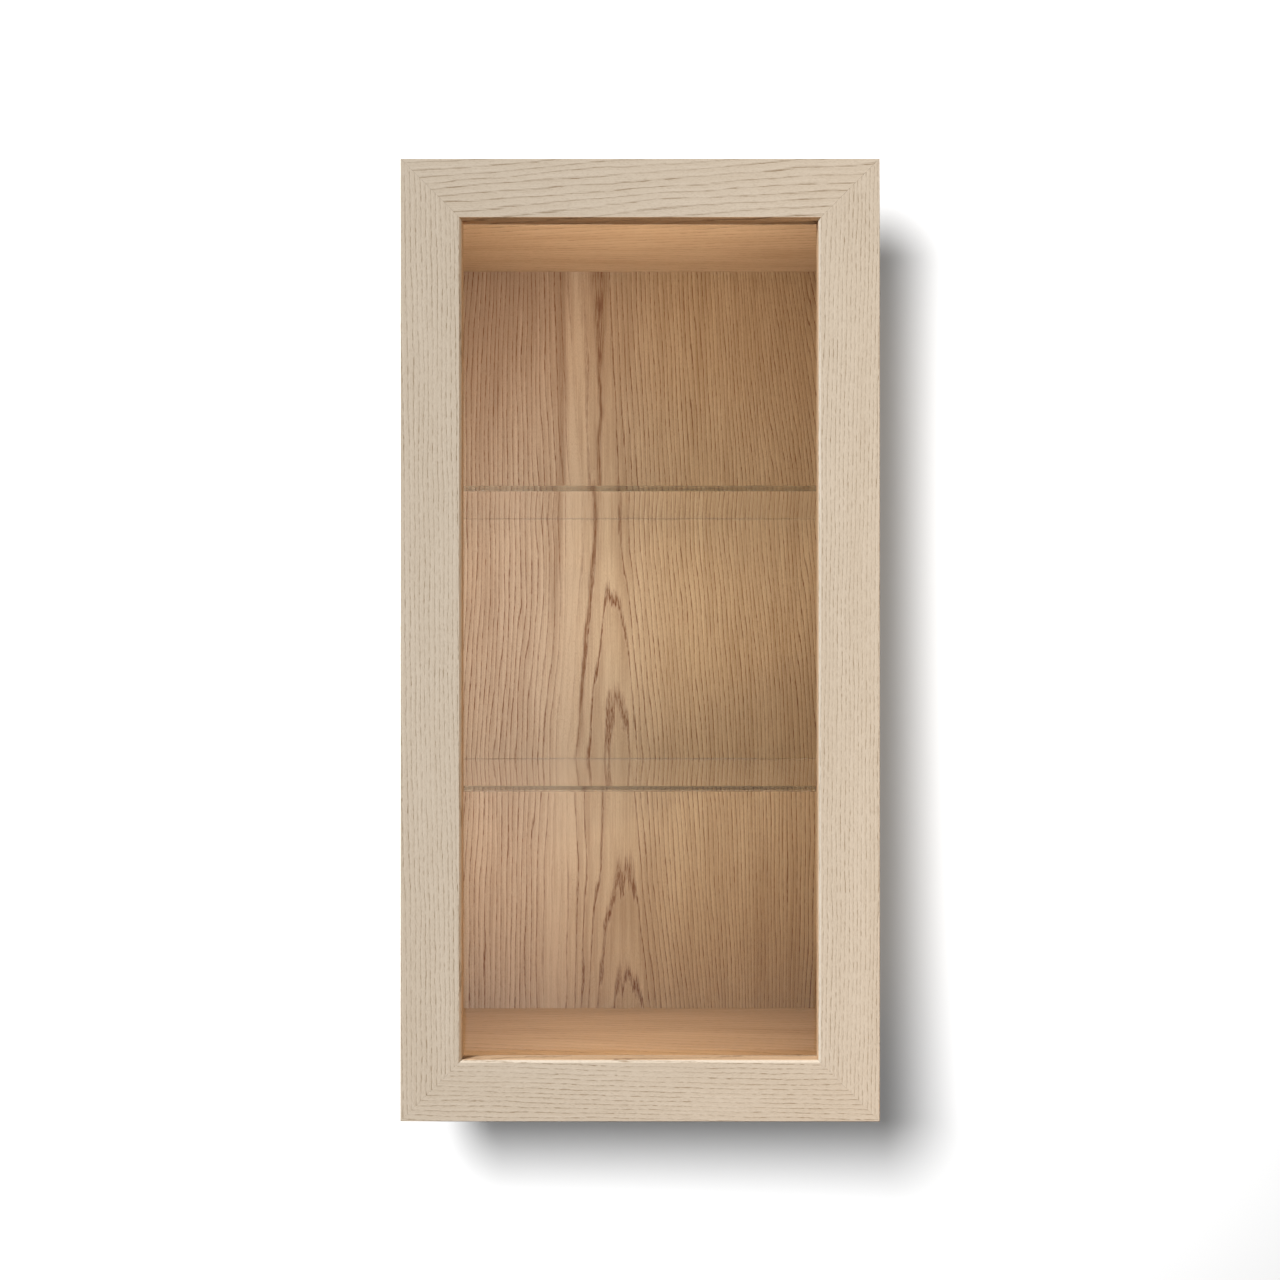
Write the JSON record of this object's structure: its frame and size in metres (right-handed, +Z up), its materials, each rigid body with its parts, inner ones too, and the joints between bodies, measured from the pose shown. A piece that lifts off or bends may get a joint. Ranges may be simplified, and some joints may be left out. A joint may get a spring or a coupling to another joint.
{
  "type": "wall mounted showcase",
  "caption": "Tall wall mounted showcase: mitred oak box with a wide-framed glazed door, glass shelves on pins, concealed hinges, a push latch and a bevelled hanging cleat.",
  "frame": {"origin": "middle of the wall cleat's rear face, which lies on the wall", "axes": "+X to the right of a person facing the door, +Y into the wall, +Z up; the door is on the -Y side"},
  "size_m": [0.5, 0.36, 1.004],
  "materials": {
    "door_oak": "pale limed oak, matt lacquer, open pores",
    "carcass_oak": "natural oak veneer, matt lacquer",
    "plywood": "raw birch plywood",
    "door_glass": "clear low-iron float glass",
    "shelf_glass": "clear float glass, polished edges",
    "hinge_steel": "nickel-plated pressed steel",
    "screw_zinc": "bright zinc plate",
    "spring_steel": "drawn spring wire",
    "black_plastic": "fine-textured moulded plastic",
    "buffer_rubber": "clear soft polyurethane"
  },
  "bodies": {
    "cabinet": {"side_panel_left": "carcass_oak", "side_panel_right": "carcass_oak", "top_panel": "carcass_oak", "bottom_panel": "carcass_oak", "back_panel": "carcass_oak", "carcass_key_bottom_left": "plywood", "carcass_key_bottom_right": "plywood", "carcass_key_top_right": "plywood", "carcass_key_top_left": "plywood", "cabinet_cleat": "carcass_oak", "wall_cleat": "carcass_oak", "glass_shelf_lower": "shelf_glass", "glass_shelf_upper": "shelf_glass", "shelf_pin_lower_front_left": "hinge_steel", "shelf_pin_lower_front_right": "hinge_steel", "shelf_pin_lower_back_left": "hinge_steel", "shelf_pin_lower_back_right": "hinge_steel", "shelf_pin_upper_front_left": "hinge_steel", "shelf_pin_upper_front_right": "hinge_steel", "shelf_pin_upper_back_left": "hinge_steel", "shelf_pin_upper_back_right": "hinge_steel", "hinge_upper_arm": "hinge_steel", "hinge_lower_arm": "hinge_steel", "hinge_upper_plate": "hinge_steel", "hinge_lower_plate": "hinge_steel", "hinge_upper_plate_screw_upper": "screw_zinc", "hinge_upper_plate_screw_lower": "screw_zinc", "hinge_lower_plate_screw_upper": "screw_zinc", "hinge_lower_plate_screw_lower": "screw_zinc", "latch_housing": "black_plastic", "latch_screw_upper": "screw_zinc", "latch_screw_lower": "screw_zinc", "latch_spring": "spring_steel"},
    "door": {"door_stile_left": "door_oak", "door_stile_right": "door_oak", "door_rail_top": "door_oak", "door_rail_bottom": "door_oak", "glazing_bead_left": "door_oak", "glazing_bead_right": "door_oak", "glazing_bead_top": "door_oak", "glazing_bead_bottom": "door_oak", "door_glass": "door_glass", "door_key_bottom_left": "plywood", "door_key_bottom_right": "plywood", "door_key_top_right": "plywood", "door_key_top_left": "plywood", "hinge_upper_cup": "hinge_steel", "hinge_lower_cup": "hinge_steel", "hinge_upper_pin": "hinge_steel", "hinge_lower_pin": "hinge_steel", "hinge_upper_cup_screw_upper": "screw_zinc", "hinge_upper_cup_screw_lower": "screw_zinc", "hinge_lower_cup_screw_upper": "screw_zinc", "hinge_lower_cup_screw_lower": "screw_zinc", "strike_plate": "hinge_steel", "door_buffer_top": "buffer_rubber", "door_buffer_bottom": "buffer_rubber"},
    "plunger": {"latch_plunger": "black_plastic"}
  },
  "joints": [
    {"name": "door_hinge", "type": "hinge", "parent": "cabinet", "child": "door", "pos_m": [-0.2415, -0.347, -0.3935], "axis": [0, 0, -1], "range_deg": [0, 95]},
    {"name": "latch_plunger_slide", "type": "slide", "parent": "cabinet", "child": "plunger", "axis": [0, 1, 0], "range_m": [0, 0.003], "stiffness_N_per_m": 800, "deforming": ["latch_spring"]}
  ]
}
